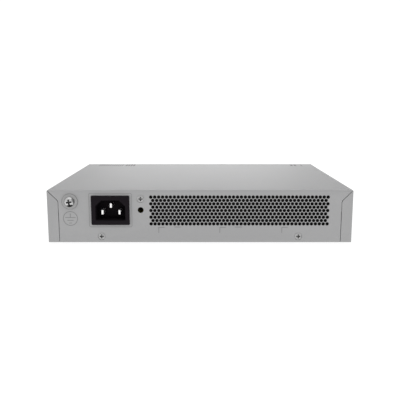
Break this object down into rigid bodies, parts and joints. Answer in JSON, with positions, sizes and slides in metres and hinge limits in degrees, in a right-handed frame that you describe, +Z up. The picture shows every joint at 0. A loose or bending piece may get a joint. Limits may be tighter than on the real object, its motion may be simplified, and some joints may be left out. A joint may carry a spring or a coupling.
{
  "type": "rackmount network switch",
  "caption": "Compact sheet-steel network switch with a perforated rear grille, mains inlet and ground terminal behind, and network ports and a mode button in front.",
  "frame": {"origin": "centre of the footprint's bounding box, on the surface that the rubber feet stand on", "axes": "+Z up, the ports face -Y, the mains inlet and the grille face +Y, +X is the side nearer the mains inlet"},
  "size_m": [0.25, 0.1852, 0.0451],
  "materials": {
    "grey_paint": "fine-textured light grey powder coat",
    "zinc_steel": "bright zinc-plated sheet steel",
    "bright_screw": "bright nickel plate",
    "black_plastic": "fine-grained black moulding",
    "tinned_brass": "tin plate",
    "rubber": "matt black rubber",
    "board_green": "green solder mask on glass laminate",
    "heatsink_black": "black anodised",
    "chip_black": "moulded epoxy",
    "clear_acrylic": "clear acrylic, slightly milky",
    "button_grey": "satin moulding",
    "yellow_tape": "polyester winding tape",
    "ferrite": "ground ferrite",
    "capacitor_sleeve": "shrunk plastic sleeve",
    "wire_brown": "insulated copper wire",
    "wire_blue": "insulated copper wire",
    "wire_green": "insulated copper wire",
    "wire_black": "insulated copper wires in a sleeve",
    "white_nylon": "natural nylon"
  },
  "bodies": {
    "casing": {"base_chassis": "zinc_steel", "bracket_screw": "bright_screw", "bulk_capacitor": "capacitor_sleeve", "chip_heatsink": "heatsink_black", "console_jack_insert": "black_plastic", "console_jack_shield": "zinc_steel", "dc_harness": "wire_black", "dc_plug_main": "white_nylon", "dc_plug_power": "white_nylon", "filter_choke": "yellow_tape", "front_panel": "grey_paint", "front_screw_left": "bright_screw", "front_screw_right": "bright_screw", "ground_nut": "zinc_steel", "inlet_housing": "black_plastic", "inlet_pin_earth": "tinned_brass", "inlet_pin_line": "tinned_brass", "inlet_pin_neutral": "tinned_brass", "insulation_film": "black_plastic", "light_pipe": "clear_acrylic", "magnetics_1": "chip_black", "magnetics_2": "chip_black", "main_board": "board_green", "mains_terminal": "white_nylon", "output_capacitor": "capacitor_sleeve", "port_block_1_insert": "black_plastic", "port_block_1_shield": "zinc_steel", "port_block_2_insert": "black_plastic", "port_block_2_shield": "zinc_steel", "power_board": "board_green", "rear_bracket": "zinc_steel", "rear_panel": "grey_paint", "rear_screw_far": "bright_screw", "rear_screw_near": "bright_screw", "rubber_foot_1": "rubber", "rubber_foot_2": "rubber", "rubber_foot_3": "rubber", "rubber_foot_4": "rubber", "screw_main_1": "bright_screw", "screw_main_2": "bright_screw", "screw_main_3": "bright_screw", "screw_power_1": "bright_screw", "screw_power_2": "bright_screw", "screw_power_3": "bright_screw", "sfp_cage": "zinc_steel", "sfp_connector_1": "black_plastic", "sfp_connector_2": "black_plastic", "side_screw_left": "bright_screw", "side_screw_right": "bright_screw", "switch_chip": "chip_black", "tact_switch": "chip_black", "top_cover": "grey_paint", "transformer_core": "ferrite", "transformer_winding": "yellow_tape", "wire_earth": "wire_green", "wire_line": "wire_brown", "wire_neutral": "wire_blue"},
    "mode_button": {"mode_button": "button_grey"},
    "ground_washer": {"ground_washer": "zinc_steel"},
    "ground_screw": {"ground_screw": "bright_screw"}
  },
  "joints": [
    {"name": "mode_button_press", "type": "slide", "parent": "casing", "child": "mode_button", "axis": [0, 1, 0], "range_m": [0, 0.0007], "stiffness_N_per_m": 1500},
    {"name": "ground_screw_travel", "type": "slide", "parent": "casing", "child": "ground_washer", "axis": [0, 1, 0], "range_m": [0, 0.004]},
    {"name": "ground_screw_turn", "type": "hinge", "parent": "ground_washer", "child": "ground_screw", "pos_m": [0.1062, 0.0884, 0.0356], "axis": [0, 1, 0], "range_deg": [0, 2058]}
  ],
  "couplings": [
    {"joint": "ground_screw_turn", "follows": "ground_screw_travel", "rad_per_m": 8976}
  ]
}
